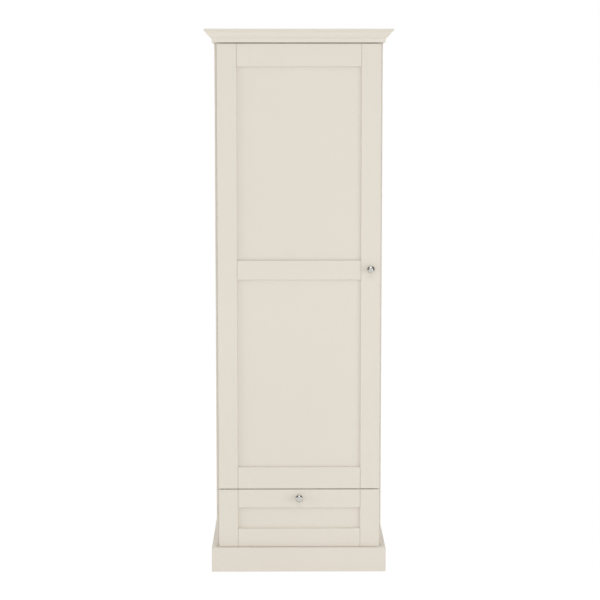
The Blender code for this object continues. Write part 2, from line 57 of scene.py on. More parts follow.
FRONT = Vector((0, -1, 0))
BACK = Vector((0, 1, 0))
RIGHT = Vector((1, 0, 0))
UP = Vector((0, 0, 1))
DOWN = Vector((0, 0, -1))
SIDES = (("left", -1), ("right", 1))
BOTH = (-1, 1)

# Colours, as linear values
WHITE = (1, 1, 1)
PAINT_COLOUR = (0.755, 0.703, 0.622)
WOOD_PALE = (0.62, 0.455, 0.28)
WOOD_DARK = (0.45, 0.29, 0.155)
BOARD_BROWN = (0.36, 0.25, 0.155)
NAIL_COLOUR = (0.42, 0.41, 0.39)
CHROME_COLOUR = (0.585, 0.575, 0.54)
NICKEL_COLOUR = (0.62, 0.61, 0.58)
ZINC_COLOUR = (0.60, 0.61, 0.62)
# A dark grey for the sheets that paint dark reflections on the metal knobs
PAINTED_REFLECTION_GREY = (0.21, 0.205, 0.19)

# Finishes
PAINT_ROUGHNESS, FELT_ROUGHNESS, CARD_ROUGHNESS = 0.42, 0.7, 0.9
CHROME_ROUGHNESS, BALL_ROUGHNESS, NICKEL_ROUGHNESS = 0.06, 0.1, 0.24
PAINT_IOR, LACQUER_IOR = 1.45, 1.47
SCRATCH_DEPTH, POLISH_DEPTH = 0.01 * MM, 0.004 * MM
EVEN = (1, 1, 1)

# The ranges that hold most of a noise, and most of two added up
WIDE, NARROW = (0.3, 0.7), (0.35, 0.65)
WIDE_SUM = (0.6, 1.4)

# Meshes
SMOOTH_ANGLE = math.radians(32)
ARRIS_ANGLE = math.radians(25)
STRAIGHT_ANGLE = math.radians(176)
ON_AXIS = 1e-7
WELD_DISTANCE = 1e-6

# Camera, worked out from the photograph
camera_place = Vector((-0.046, -6.578, 1.709))
camera_lens = 106.7
camera_sensor = 36
camera_pitch = 6.48
camera_yaw = 0.46

# Light: an even surround, and lamps as name, place, width and height, watts, and if metal mirrors them
world_strength = 0.69
lamp_aim = Vector((0, 0, 0.4))
lamps = [
    ("front_soft", (0.3, -4.5, 0.45), (3.6, 0.8), 17, False),
    ("top_soft", (0.2, -2.6, 3.7), (1.0, 0.6), 8, True),
    ("right_soft", (3.5, -2.5, 0.9), (1.8, 1.6), 29, True),
    ("left_soft", (-3.6, -1.15, 0.9), (1.6, 1.6), 30, True),
]

# Floor: what it sends back to the object, what a shadow takes from it, and its own glow
floor_white = 0.95
floor_shadow = 0.12
floor_glow = 0.93
floor_radius = 12
floor_sides = 96
floor_drop = 0.5 * MM

# Cards that paint dark reflections on the knobs and are seen by nothing else: part of a ball round this
# middle, in degrees round from straight up and off from the front
card_middle = Vector((0.13, -0.27, 0.7))
card_radius = 2.4
card_turns = range(26, 99, 12)
card_leans = range(50, 99, 8)

# Hinges, shared by the arm and the cup
pivot_pin_radius = 1 * MM
link_eye_radius = 2.2 * MM
arm_ear_radius = 2.7 * MM
plate_screw_radius = 3.9 * MM

# Runner sections in millimetres: out from the side panel, up, and the corner's radius. The members are
# lower halves: the cabinet's up from its lower edge, the middle one's from the runner's middle.
CABINET_MEMBER = [
    (0.3, 0, 1.6), (8.4, 0, 1.2), (8.9, 2.0, 0.4), (8.0, 2.2, 0.3), (7.4, 1.2, 0.8), (1.5, 1.2, 0.9),
]
MIDDLE_MEMBER = [
    (2.9, -18.2, 1.4), (5.6, -17.6, 0.6), (7.6, -16.6, 1.0), (10.2, -17.8, 0.4), (10.5, -16.8, 0.4),
    (7.6, -15.4, 1.0), (5.2, -16.5, 0.6), (4.1, -16.6, 0.4),
]
DRAWER_LIP = [
    (12.7, 10.0, 0.2), (12.7, 13.3, 1.4), (9.2, 13.5, 0.5), (7.2, 14.0, 1.0), (5.0, 13.0, 0.5),
    (5.4, 12.1, 0.4), (7.2, 12.8, 1.0), (9.4, 12.3, 0.5), (11.5, 12.1, 0.5), (11.5, 10.0, 0.2),
]
# Places along a runner in millimetres, and its two rows of balls as ball height, cage height, first, last
CABINET_SCREWS = (36, 228, 400)
DRAWER_SCREWS = (32, 224, 420)
SLOTS = (60, 150, 250, 330)
HOLES = (110, 205, 300)
BALL_ROWS = ((18.9, 19.0, 30, 260), (14.9, 14.9, 150, 440))
BALL_PITCH = 10


def make_camera():
    data = bpy.data.cameras.new("camera")
    data.lens = camera_lens
    data.sensor_width = camera_sensor
    camera = bpy.data.objects.new("camera", data)
    camera.location = camera_place
    camera.rotation_euler = (math.radians(90 - camera_pitch), 0, math.radians(-camera_yaw))
    bpy.context.scene.collection.objects.link(camera)
    bpy.context.scene.camera = camera


# Node trees


class Tree:
    """Short calls for building the nodes of one material or of the world."""

    def __init__(self, owner):
        owner.use_nodes = True
        self.nodes = owner.node_tree.nodes
        self.links = owner.node_tree.links

    def node(self, kind, **settings):
        made = self.nodes.new(kind)
        for key, value in settings.items():
            setattr(made, key, value)
        return made

    def set(self, socket, value):
        if isinstance(value, bpy.types.NodeSocket):
            self.links.new(value, socket)
        elif isinstance(value, tuple) and len(socket.default_value) == 4:
            socket.default_value = (*value, 1)
        else:
            socket.default_value = value

    def shader(self, kind, colour):
        made = self.node(kind)
        self.set(made.inputs["Color"], colour)
        return made

    def place(self, scale=EVEN, turn=(0, 0, 0)):
        """Object coordinates, stretched and turned."""
        coordinates = self.node("ShaderNodeTexCoord")
        mapping = self.node("ShaderNodeMapping")
        mapping.inputs["Scale"].default_value = scale
        mapping.inputs["Rotation"].default_value = turn
        self.links.new(coordinates.outputs["Object"], mapping.inputs["Vector"])
        return mapping.outputs["Vector"]

    def noise(self, vector, scale, detail=2, roughness=0.5, distortion=0):
        made = self.node("ShaderNodeTexNoise")
        self.set(made.inputs["Vector"], vector)
        made.inputs["Scale"].default_value = scale
        made.inputs["Detail"].default_value = detail
        made.inputs["Roughness"].default_value = roughness
        made.inputs["Distortion"].default_value = distortion
        return made.outputs["Fac"]

    def spread(self, value, low, high, to_low=0, to_high=1):
        made = self.node("ShaderNodeMapRange")
        self.set(made.inputs["Value"], value)
        made.inputs["From Min"].default_value = low
        made.inputs["From Max"].default_value = high
        made.inputs["To Min"].default_value = to_low
        made.inputs["To Max"].default_value = to_high
        return made.outputs["Result"]

    def sum(self, first, second, operation="ADD"):
        made = self.node("ShaderNodeMath", operation=operation)
        self.set(made.inputs[0], first)
        self.set(made.inputs[1], second)
        return made.outputs["Value"]

    def product(self, first, second):
        return self.sum(first, second, "MULTIPLY")

    def mix(self, share, first, second):
        made = self.node("ShaderNodeMix", data_type="RGBA")
        self.set(made.inputs["Factor"], share)
        colours = [socket for socket in made.inputs if socket.type == "RGBA"]
        self.set(colours[0], first)
        self.set(colours[1], second)
        return made.outputs["Result"]

    def facing(self, axis):
        """How far the face looks along an axis of the object, from -1 to 1."""
        coordinates = self.node("ShaderNodeTexCoord")
        split = self.node("ShaderNodeSeparateXYZ")
        self.links.new(coordinates.outputs["Normal"], split.inputs["Vector"])
        return split.outputs[axis]

    def bump(self, height, distance, strength=1.0, after=None):
        made = self.node("ShaderNodeBump")
        made.inputs["Distance"].default_value = distance
        made.inputs["Strength"].default_value = strength
        self.set(made.inputs["Height"], height)
        if after is not None:
            self.set(made.inputs["Normal"], after)
        return made.outputs["Normal"]

    def choose_by_ray(self, lit, seen, output):
        """Lights the object by one shader, and shows the other to the camera and to shiny or clear things."""
        path = self.node("ShaderNodeLightPath")
        also = self.sum(path.outputs["Is Glossy Ray"], path.outputs["Is Transmission Ray"])
        choice = self.node("ShaderNodeMixShader")
        self.links.new(self.sum(path.outputs["Is Camera Ray"], also), choice.inputs["Fac"])
        self.links.new(lit, choice.inputs[1])
        self.links.new(seen, choice.inputs[2])
        self.links.new(choice.outputs["Shader"], self.nodes[output].inputs["Surface"])


class Material(Tree):
    """A tree that ends in the Principled shader of a new material."""

    def __init__(self, name):
        self.material = bpy.data.materials.new(name)
        super().__init__(self.material)

    def finish(self, colour, roughness, normal=None, **fixed):
        shader = self.nodes["Principled BSDF"]
        self.set(shader.inputs["Base Color"], colour)
        self.set(shader.inputs["Roughness"], roughness)
        if normal is not None:
            self.set(shader.inputs["Normal"], normal)
        for name, value in fixed.items():
            shader.inputs[name].default_value = value
        return self.material


def shade(colour, share):
    return tuple(value * share for value in colour)


def along(grain, stretch):
    """A scale that draws a texture out along the grain's axis."""
    return tuple(stretch if axis == grain else 1 for axis in "XYZ")


def paint(name, grain, roughness=PAINT_ROUGHNESS, colour=PAINT_COLOUR):
    """Satin paint over board: roller stipple, faint marks along the grain, and slow drifts of tone."""
    slow_share, streak_share = 0.5, 0.25
    tone_change, gloss_change = 0.015, 0.04
    stipple_depth, streak_depth = 0.04 * MM, 0.05 * MM
    tree = Material(name)
    slow = tree.noise(tree.place(), scale=2.2, detail=3)
    streak = tree.noise(tree.place(along(grain, 0.06)), scale=420, detail=3, roughness=0.6)
    stipple = tree.noise(tree.place(), scale=1300)
    tone = tree.sum(
        tree.spread(slow, *WIDE, -slow_share, slow_share),
        tree.spread(streak, *WIDE, -streak_share, streak_share),
    )
    most = slow_share + streak_share
    tints = (shade(colour, 1 - tone_change), shade(colour, 1 + tone_change))
    tint = tree.mix(tree.spread(tone, -most, most), *tints)
    ends = (roughness - gloss_change, roughness + gloss_change)
    gloss = tree.spread(tree.sum(slow, streak), *WIDE_SUM, *ends)
    normal = tree.bump(stipple, stipple_depth, strength=0.6)
    normal = tree.bump(streak, streak_depth, strength=0.5, after=normal)
    return tree.finish(tint, gloss, normal, IOR=PAINT_IOR)


def nail_heads(tree, rows, pitch, radius):
    """1 on the nails' heads, in level rows along X at these heights, and 0 round them."""
    flat_share = 0.75
    split = tree.node("ShaderNodeSeparateXYZ")
    tree.links.new(tree.place(), split.inputs["Vector"])
    side = tree.sum(split.outputs["X"], pitch / 2, "PINGPONG")
    side = tree.product(side, side)
    heads = 0
    for row in rows:
        rise = tree.sum(split.outputs["Z"], row, "SUBTRACT")
        square = tree.sum(side, tree.product(rise, rise))
        heads = tree.sum(heads, tree.spread(square, radius**2, (radius * flat_share) ** 2))
    return heads


def back_board_material():
    """The thin back: painted on its inner face, bare brown pressed board with a mesh imprint behind."""
    nail_pitch, nail_radius = 135 * MM, 3.2 * MM
    imprint_depth, fibre_depth, nail_rise = 0.25 * MM, 0.06 * MM, 0.6 * MM
    painted_gloss, bare_gloss, nail_gloss = 0.55, 0.8, 0.45
    tree = Material("back_board")
    slow = tree.noise(tree.place(), scale=3, detail=3)
    fibre = tree.noise(tree.place(), scale=700, detail=4, roughness=0.7)
    fleck = tree.noise(tree.place(along("Z", 0.4)), scale=160, detail=3, roughness=0.6)
    brown = tree.mix(tree.spread(fleck, *NARROW), shade(BOARD_BROWN, 0.85), shade(BOARD_BROWN, 1.15))
    brown = tree.mix(tree.spread(fibre, *WIDE, to_high=0.4), brown, shade(BOARD_BROWN, 0.7))
    painted = tree.mix(tree.spread(slow, *WIDE), shade(PAINT_COLOUR, 0.955), shade(PAINT_COLOUR, 0.985))
    outside = tree.spread(tree.facing("Y"), -0.2, 0.2)
    mesh = []
    for turn in (math.radians(45), math.radians(-45)):
        wave = tree.node("ShaderNodeTexWave", wave_type="BANDS", bands_direction="X")
        tree.set(wave.inputs["Vector"], tree.place(turn=(0, turn, 0)))
        wave.inputs["Scale"].default_value = 300
        mesh.append(wave.outputs["Fac"])
    imprint = tree.product(tree.product(*mesh), outside)
    boards = ("deck_panel", "shelf_middle", "top_panel")
    rows = [sum(corner.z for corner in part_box(board)) / 2 for board in boards]
    heads = tree.product(nail_heads(tree, rows, nail_pitch, nail_radius), outside)
    brown = tree.mix(heads, brown, NAIL_COLOUR)
    normal = tree.bump(imprint, imprint_depth, strength=0.5)
    normal = tree.bump(fibre, fibre_depth, strength=0.5, after=normal)
    normal = tree.bump(heads, nail_rise, strength=0.7, after=normal)
    bare = tree.spread(outside, 0, 1, painted_gloss, bare_gloss)
    gloss = tree.sum(bare, tree.product(heads, nail_gloss), "SUBTRACT")
    return tree.finish(tree.mix(outside, painted, brown), gloss, normal)


def wood(name, grain, pale=WOOD_PALE, dark=WOOD_DARK):
    """Clear lacquered pale wood: growth bands and pores along the grain, rings on the end grain."""
    figure_depth = 0.06 * MM
    tree = Material(name)
    band = tree.noise(tree.place(along(grain, 0.035)), scale=26, detail=4, roughness=0.55, distortion=0.6)
    line = tree.noise(tree.place(along(grain, 0.012)), scale=210, detail=3, roughness=0.6, distortion=0.3)
    pore = tree.noise(tree.place(along(grain, 0.035)), scale=1500)
    ring = tree.noise(tree.place(), scale=55, detail=3, distortion=1.4)
    figure = tree.sum(tree.spread(band, *NARROW, to_high=0.6), tree.spread(line, *NARROW, to_high=0.4))
    side = tree.mix(figure, pale, dark)
    side = tree.mix(tree.spread(pore, 0.62, 0.72, to_high=0.35), side, shade(dark, 0.6))
    end = tree.mix(tree.spread(ring, 0.42, 0.58), shade(dark, 0.72), shade(pale, 0.72))
    end = tree.mix(tree.spread(pore, 0.5, 0.7, to_high=0.5), end, shade(dark, 0.45))
    at_end = tree.spread(tree.sum(tree.facing(grain), 0, "ABSOLUTE"), 0.6, 0.8)
    gloss = tree.spread(figure, 0, 1, 0.38, 0.5)
    normal = tree.bump(tree.sum(line, pore), figure_depth, strength=0.5)
    return tree.finish(tree.mix(at_end, side, end), gloss, normal, IOR=LACQUER_IOR)


def metal(name, colour, roughness, stretch=along("Z", 0.1), scratch_depth=SCRATCH_DEPTH):
    """Plated steel with fine scratches along one axis and faint clouds in its polish."""
    gloss_change = 0.2
    tree = Material(name)
    scratch = tree.noise(tree.place(stretch), scale=1400, detail=3, roughness=0.6)
    cloud = tree.noise(tree.place(), scale=60, detail=3)
    ends = (roughness * (1 - gloss_change), roughness * (1 + gloss_change))
    gloss = tree.spread(tree.sum(scratch, cloud), *WIDE_SUM, *ends)
    tint = tree.mix(tree.spread(cloud, *WIDE), shade(colour, 0.94), colour)
    return tree.finish(tint, gloss, tree.bump(scratch, scratch_depth, strength=0.4), Metallic=1.0)


def zinc(name):
    """Zinc plated strip: drawn along Y, with small pale crystals."""
    tree = Material(name)
    cells = tree.node("ShaderNodeTexVoronoi", feature="F1")
    tree.set(cells.inputs["Vector"], tree.place())
    cells.inputs["Scale"].default_value = 420
    crystal = cells.outputs["Distance"]
    draw = tree.noise(tree.place(along("Y", 0.02)), scale=1200, detail=3)
    tint = tree.mix(tree.spread(crystal, 0, 0.7), ZINC_COLOUR, shade(ZINC_COLOUR, 0.86))
    gloss = tree.spread(tree.sum(draw, crystal), 0.3, 1.2, 0.26, 0.42)
    return tree.finish(tint, gloss, tree.bump(draw, SCRATCH_DEPTH, strength=0.5), Metallic=1.0)


# Shapes


def rounded(corners, radius, steps=4):
    """A closed outline with each corner turned into an arc. A third value in a corner is its own radius."""
    outline = []
    count = len(corners)
    for i, corner in enumerate(corners):
        here = Vector(corner[:2])
        before = Vector(corners[i - 1][:2]) - here
        after = Vector(corners[(i + 1) % count][:2]) - here
        size = corner[2] if len(corner) > 2 else radius
        angle = before.angle(after)
        if size == 0 or angle > STRAIGHT_ANGLE:
            outline.append(tuple(here))
            continue
        reach = min(size / math.tan(angle / 2), before.length / 2, after.length / 2)
        bend = reach * math.tan(angle / 2)
        inward = (before.normalized() + after.normalized()).normalized()
        middle = here + inward * bend / math.sin(angle / 2)
        start = here + before.normalized() * reach - middle
        end = here + after.normalized() * reach - middle
        sweep = start.angle_signed(end)
        for step in range(steps + 1):
            outline.append(tuple(middle + Matrix.Rotation(-sweep * step / steps, 2) @ start))
    return outline


def rectangle(low, high, radius=0, steps=4):
    corners = [(low[0], low[1]), (high[0], low[1]), (high[0], high[1]), (low[0], high[1])]
    return rounded(corners, radius, steps)


def circle(across, up, radius, sides=32):
    turn = 2 * math.pi / sides
    return [(across + radius * math.cos(turn * k), up + radius * math.sin(turn * k)) for k in range(sides)]


def arc(across, up, radius, start, end, steps=6):
    """Points of an arc about a middle, from one angle to another in degrees."""
    points = []
    for step in range(steps + 1):
        angle = math.radians(start + (end - start) * step / steps)
        points.append((across + radius * math.cos(angle), up + radius * math.sin(angle)))
    return points


def turned_to(place, axis):
    """A matrix that stands a shape built up Z on this place, along this axis."""
    return Matrix.Translation(place) @ axis.to_track_quat("Z", "Y").to_matrix().to_4x4()


class Shape:
    """One piece's mesh, gathered from simple solids in their places in the world."""

    def __init__(self):
        self.work = bmesh.new()

    def add(self, made, ease=0):
        bmesh.ops.recalc_face_normals(made, faces=made.faces)
        if ease:
            sharp = [edge for edge in made.edges if edge.calc_face_angle(0) > ARRIS_ANGLE]
            bmesh.ops.bevel(
                made, geom=sharp, offset=ease, segments=2, profile=0.5, affect="EDGES", clamp_overlap=True
            )
        mesh = bpy.data.meshes.new("shape")
        made.to_mesh(mesh)
        made.free()
        self.work.from_mesh(mesh)
        bpy.data.meshes.remove(mesh)
        return self

    def loft(self, first, second, ease=0):
        """A closed solid between two outlines of the same number of points."""
        made = bmesh.new()
        rings = [[made.verts.new(point) for point in outline] for outline in (first, second)]
        for ring in rings:
            made.faces.new(ring)
        for k in range(len(first)):
            after = (k + 1) % len(first)
            made.faces.new((rings[0][k], rings[0][after], rings[1][after], rings[1][k]))
        return self.add(made, ease)

    def prism(self, outline, axis, start, end, ease=0):
        """An outline in the two other axes, drawn out along this one."""
        ends = [[insert(point, axis, place) for point in outline] for place in (start, end)]
        return self.loft(*ends, ease)

    def plate(self, outlines, axis, start, end, ease=0):
        """A plate whose first outline is its rim and whose others are holes."""
        curve = bpy.data.curves.new("plate", "CURVE")
        curve.dimensions = "2D"
        curve.fill_mode = "BOTH"
        curve.extrude = abs(end - start) / 2
        for outline in outlines:
            spline = curve.splines.new("POLY")
            spline.points.add(len(outline) - 1)
            for point, place in zip(spline.points, outline):
                point.co = (*place, 0, 1)
            spline.use_cyclic_u = True
        guide = bpy.data.objects.new("plate", curve)
        bpy.context.scene.collection.objects.link(guide)
        bpy.context.view_layer.update()
        mesh = bpy.data.meshes.new_from_object(guide.evaluated_get(bpy.context.evaluated_depsgraph_get()))
        bpy.data.objects.remove(guide)
        made = bmesh.new()
        made.from_mesh(mesh)
        bmesh.ops.remove_doubles(made, verts=made.verts, dist=WELD_DISTANCE)
        for vertex in made.verts:
            vertex.co = insert(vertex.co[:2], axis, vertex.co[2] + (start + end) / 2)
        return self.add(made, ease)

    def turned(self, profile, place, axis, sides=48):
        """A closed profile of radii and heights, turned about an axis that runs up it."""
        made = bmesh.new()
        rings = []
        turn = 2 * math.pi / sides
        for radius, height in profile:
            count = sides if radius > ON_AXIS else 1
            rings.append([
                made.verts.new((radius * math.cos(turn * k), radius * math.sin(turn * k), height))
                for k in range(count)
            ])
        for first, second in zip(rings, rings[1:]):
            for k in range(sides):
                corners = [first[k % len(first)], first[(k + 1) % len(first)]]
                corners += [second[(k + 1) % len(second)], second[k % len(second)]]
                corners = list(dict.fromkeys(corners))
                if len(corners) > 2:
                    made.faces.new(corners)
        bmesh.ops.transform(made, matrix=turned_to(place, axis), verts=made.verts)
        return self.add(made)

    def rod(self, place, axis, radius, length, sides=20, chamfer=0):
        """A round bar from a place along an axis, with chamfered ends."""
        profile = [(0, 0), (radius - chamfer, 0), (radius, chamfer), (radius, length - chamfer)]
        return self.turned([*profile, (radius - chamfer, length), (0, length)], place, axis, sides)

    def ball(self, place, radius):
        made = bmesh.new()
        bmesh.ops.create_icosphere(made, subdivisions=2, radius=radius, matrix=Matrix.Translation(place))
        return self.add(made)

    def screw(self, place, axis, radius, height):
        """A crowned head with a cross recess, standing on a face."""
        head = screw_head().copy()
        head.transform(turned_to(place, axis) @ Matrix.Diagonal((radius, radius, height, 1)))
        self.work.from_mesh(head)
        bpy.data.meshes.remove(head)
        return self

    def piece(self, name, material, body, slot, replaces=()):
        mesh = bpy.data.meshes.new(name)
        self.work.to_mesh(mesh)
        self.work.free()
        mesh.materials.append(material)
        mesh.shade_smooth()
        mesh.set_sharp_from_angle(angle=SMOOTH_ANGLE)
        made = bpy.data.objects.new(name, mesh)
        bpy.context.scene.collection.objects.link(made)
        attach(made, body)
        if replaces:
            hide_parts(*replaces)
        return made


def insert(point, axis, value):
    """The point's two values, with a third put in at this axis."""
    values = list(point)
    values.insert(axis, value)
    return values


def screw_head():
    """A head of radius 1 and height 1, made once: a crown with a cross sunk in it."""
    made = bpy.data.meshes.get("screw_head")
    if made is not None:
        return made
    arm, reach = 0.13, 0.52
    wall, shoulder, crown, overlap, ease = 0.25, 0.45, 0.94, 0.01, 0.12
    cross = []
    for quarter in range(4):
        turn = Matrix.Rotation(math.radians(90 * quarter), 2)
        cross += [tuple(turn @ Vector(point)) for point in ((reach, -arm), (reach, arm), (arm, arm))]
    head = Shape()
    head.turned([(0, 0), (1, 0), (1, wall), (crown, shoulder), (0, shoulder)], Vector(), UP, 32)
    head.plate([circle(0, 0, crown), cross], ALONG_Z, shoulder - overlap, 1.0, ease)
    made = bpy.data.meshes.new("screw_head")
    head.work.to_mesh(made)
    head.work.free()
    return made


# Pieces on the outside


def cornice(material):
    """The crown moulding as three mitred lengths, with its curves drawn smooth and its arrises eased."""
    ease, mitre_gap = 0.7 * MM, 0.12 * MM
    fillet, fillet_step = 7.4 * MM, 0.9 * MM
    ovolo_top_out, ovolo_foot_out, ovolo_foot_down = 30 * MM, 11.9 * MM, 31 * MM
    ovolo_bulge, ovolo_steps = 1.7 * MM, 28
    neck = [(9.2 * MM, 31.4 * MM), (8.8 * MM, 32.2 * MM)]
    foot_out = 7.5 * MM
    low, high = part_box("cornice_front")
    left_low, left_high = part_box("cornice_left")
    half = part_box("side_panel_right")[1].x
    face, back, foot, top = high.y, left_high.y, low.z, high.z
    reach = -half - left_low.x
    curve_top = Vector((ovolo_top_out, top - fillet - fillet_step))
    curve_foot = Vector((ovolo_foot_out, top - ovolo_foot_down))
    outward = Vector((curve_top.y - curve_foot.y, curve_foot.x - curve_top.x)).normalized()
    profile = [(0, top), *arc(reach - ease, top - ease, ease, 90, 0, 3)]
    profile += arc(reach - ease, top - fillet + ease, ease, 0, -90, 3)
    for step in range(ovolo_steps + 1):
        share = step / ovolo_steps
        point = curve_top.lerp(curve_foot, share) + outward * ovolo_bulge * math.sin(math.pi * share)
        profile.append(tuple(point))
    profile += [(out, top - down) for out, down in neck]
    profile += [(foot_out, foot), (0, foot)]
    ends = [[(side * (half + out - mitre_gap), face - out, up) for out, up in profile] for side in BOTH]
    Shape().loft(*ends).piece("cornice_moulding_front", material, "carcass", "cream_paint", ["cornice_front"])
    for name, side in SIDES:
        near = [(side * (half + out), face - out, up) for out, up in profile]
        far = [(side * (half + out), back, up) for out, up in profile]
        node = f"cornice_{name}"
        Shape().loft(near, far).piece(f"cornice_moulding_{name}", material, "carcass", "cream_paint", [node])


def knob(body, material):
    """A turned knob: a low crown, a rolled rim, a hollow neck and a small foot with a bead."""
    edge = 17.6 * MM
    rim, rim_in, rim_down = 2.6 * MM, 0.42, 0.75
    crown_angle, crown_steps, neck_steps = math.radians(62), 12, 10
    neck = Vector((5 * MM, 4.6 * MM))
    bead = 1.2 * MM
    foot, foot_round, foot_rise, foot_chamfer = 8 * MM, 0.6 * MM, 2.2 * MM, 0.2 * MM
    node = f"{body}_knob"
    low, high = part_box(node)
    radius = (high.x - low.x) / 2
    reach = high.y - low.y
    dome = reach - edge
    place = Vector(((low.x + high.x) / 2, high.y, (low.z + high.z) / 2))
    profile = []
    for step in range(crown_steps + 1):
        angle = crown_angle * step / crown_steps
        share = math.sin(angle) / math.sin(crown_angle)
        drop = (1 - math.cos(angle)) / (1 - math.cos(crown_angle))
        profile.append(((radius - rim * rim_in) * share, reach - (dome - rim * rim_down) * drop))
    profile += arc(radius - rim, edge, rim, 34, -60, 8)
    start = Vector(profile[-1])
    for step in range(1, neck_steps + 1):
        angle = math.pi / 2 * step / neck_steps
        profile.append((
            neck.x + (start.x - neck.x) * (1 - math.sin(angle)),
            neck.y + (start.y - neck.y) * math.cos(angle),
        ))
    profile += arc(neck.x, neck.y - bead, bead, 90, 30, 3)
    profile += arc(foot - foot_round, foot_rise - foot_round, foot_round, 90, 0, 3)
    profile += [(foot, foot_chamfer), (foot - foot_chamfer, 0), (0, 0)]
    shape = Shape().turned(profile, place, FRONT, 72)
    shape.piece(f"{node}_turned", material, body, "polished_chrome", [node])


def fixing_screws(steel):
    """The knobs' screws behind the stile and the rail."""
    radius, height = 4.2 * MM, 2.1 * MM
    for body, carrier in (("door", "lock_stile"), ("drawer", "drawer_top_rail")):
        low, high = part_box(f"{body}_knob")
        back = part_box(carrier)[1].y
        place = Vector(((low.x + high.x) / 2, back, (low.z + high.z) / 2))
        shape = Shape().screw(place, BACK, radius, height)
        shape.piece(f"{body}_knob_screw", steel, body, "hinge_steel")


def glue_blocks(material):
    """Three-cornered blocks behind the cornice and under the base, where the maker would rub them in."""
    gap, side_gap, ease = 0.1 * MM, 0.2 * MM, 0.6 * MM
    leg, length = 19 * MM, 60 * MM
    across_places, depth_places = (-0.19, 0, 0.19), (-0.12, 0.14)
    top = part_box("cornice_board")[1].z
    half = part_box("side_panel_right")[1].x
    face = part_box("cornice_front")[1].y
    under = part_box("base_panel")[0].z

    def add_block(shape, axis, middle, corner, inward, upward):
        outline = [corner, (corner[0] + inward * leg, corner[1]), (corner[0], corner[1] + upward * leg)]
        shape.prism(outline, axis, middle - length / 2, middle + length / 2, ease)

    above, below = Shape(), Shape()
    for middle in across_places:
        add_block(above, ALONG_X, middle, (face + gap, top + gap), 1, 1)
    for side in BOTH:
        for middle in depth_places:
            add_block(above, ALONG_Y, middle, (side * (half - gap), top + gap), -side, 1)
            add_block(below, ALONG_Y, middle, (side * (half + side_gap), under - gap), -side, -1)
    above.piece("cornice_glue_blocks", material, "carcass", "box_wood")
    below.piece("plinth_glue_blocks", material, "carcass", "box_wood")


def top_screws(steel):
    """Small screws that hold the board behind the cornice."""
    radius, height = 3.9 * MM, 0.9 * MM
    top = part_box("cornice_board")[1].z
    shape = Shape()
    for across in (-0.23, 0, 0.23):
        for depth in (-0.16, 0.2):
            shape.screw(Vector((across, depth, top)), UP, radius, height)
    shape.piece("cornice_board_screws", steel, "carcass", "hinge_steel")


# Pieces inside


def mounting_plate(shape, low, high, middle, rise):
    """A hinge's plate on the side panel: a winged base with two screws, and the rail that the arm sits on."""
    length, rear_inset, bar, wing_from, wing_to = 36 * MM, 0.5 * MM, 8.5 * MM, 9 * MM, 11 * MM
    thick, rail_half, rail_inset, rail_over = 1.6 * MM, 6 * MM, 1 * MM, 1.2 * MM
    bite, corner, screw_rise, screw_height = 0.1 * MM, 3.5 * MM, 19 * MM, 1.5 * MM
    seat = low.x
    rear = high.y - rear_inset
    front = rear - length
    wing_front, wing_rear = front + wing_from, rear - wing_to
    tall = (high.z - low.z) / 2
    upper = [(rear, bar), (wing_rear, bar), (wing_rear, tall)]
    upper += [(wing_front, tall), (wing_front, bar), (front, bar)]
    lower = [(depth, -up) for depth, up in reversed(upper)]
    wing = [(depth, middle + up) for depth, up in rounded(lower + upper, corner)]
    shape.prism(wing, ALONG_X, seat, seat + thick, 0.35 * MM)
    ends = ((front + rail_inset, middle - rail_half), (rear - rail_inset, middle + rail_half))
    rail = rectangle(*ends, 1.5 * MM)
    shape.prism(rail, ALONG_X, seat + thick - bite, seat + rise + rail_over, 0.3 * MM)
    for up in (-screw_rise, screw_rise):
        place = Vector((seat + thick, (wing_front + wing_rear) / 2, middle + up))
        shape.screw(place, RIGHT, plate_screw_radius, screw_height)


